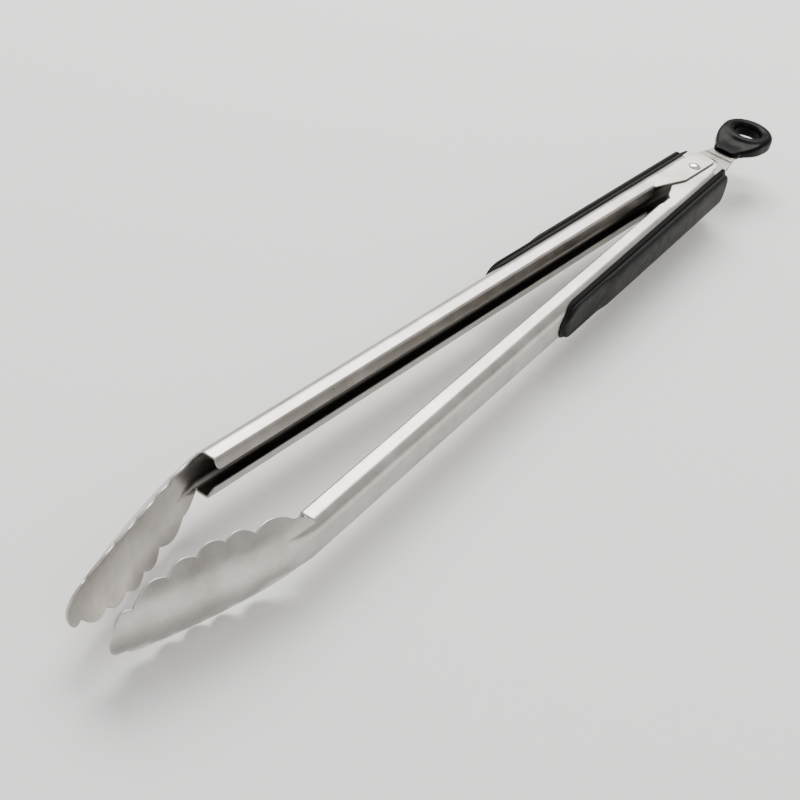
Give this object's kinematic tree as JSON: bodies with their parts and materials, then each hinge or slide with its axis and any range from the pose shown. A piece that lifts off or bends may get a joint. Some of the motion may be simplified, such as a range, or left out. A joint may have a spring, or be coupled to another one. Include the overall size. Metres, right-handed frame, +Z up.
{
  "type": "kitchen tongs",
  "caption": "Spring loaded kitchen tongs with channel arms, scalloped scoop heads, soft grips, a sliding lock plate and a pull ring to hang them by.",
  "frame": {"origin": "middle of the box at its lowest point, with the tongs lying on their side, nearly closed, and the lock pulled out", "axes": "+X from the pull ring to the scoop heads, +Y towards the left arm, +Z up along the rivet"},
  "size_m": [0.4186, 0.0456, 0.0314],
  "materials": {
    "arm_steel": "brushed along the arm",
    "grip_plastic": "satin",
    "grip_rubber": "soft matte",
    "rivet_steel": "polished",
    "spring_wire": "drawn wire",
    "plate_steel": "satin",
    "ring_plastic": "smooth"
  },
  "bodies": {
    "pivot": {"pivot_rivet": "rivet_steel", "spacer_sleeve": "rivet_steel", "torsion_spring": "spring_wire"},
    "left_half": {"left_arm": "arm_steel", "left_grip_base": "grip_plastic", "left_grip_skin": "grip_rubber"},
    "right_half": {"right_arm": "arm_steel", "right_grip_base": "grip_plastic", "right_grip_skin": "grip_rubber"},
    "lock": {"lock_plate": "plate_steel", "pull_ring": "ring_plastic"}
  },
  "joints": [
    {"name": "left_arm_swing", "type": "hinge", "parent": "pivot", "child": "left_half", "pos_m": [-0.14711, 0, 0.0157], "axis": [0, 0, 1], "range_deg": [-1, 10], "stiffness_Nm_per_rad": 0.6, "deforming": ["torsion_spring"]},
    {"name": "right_arm_swing", "type": "hinge", "parent": "pivot", "child": "right_half", "pos_m": [-0.14711, 0, 0.0157], "axis": [0, 0, 1], "range_deg": [-10, 1]},
    {"name": "lock_slide", "type": "slide", "parent": "pivot", "child": "lock", "axis": [1, 0, 0], "range_m": [0, 0.018]}
  ],
  "couplings": [
    {"joint": "right_arm_swing", "follows": "left_arm_swing", "ratio": -1}
  ]
}
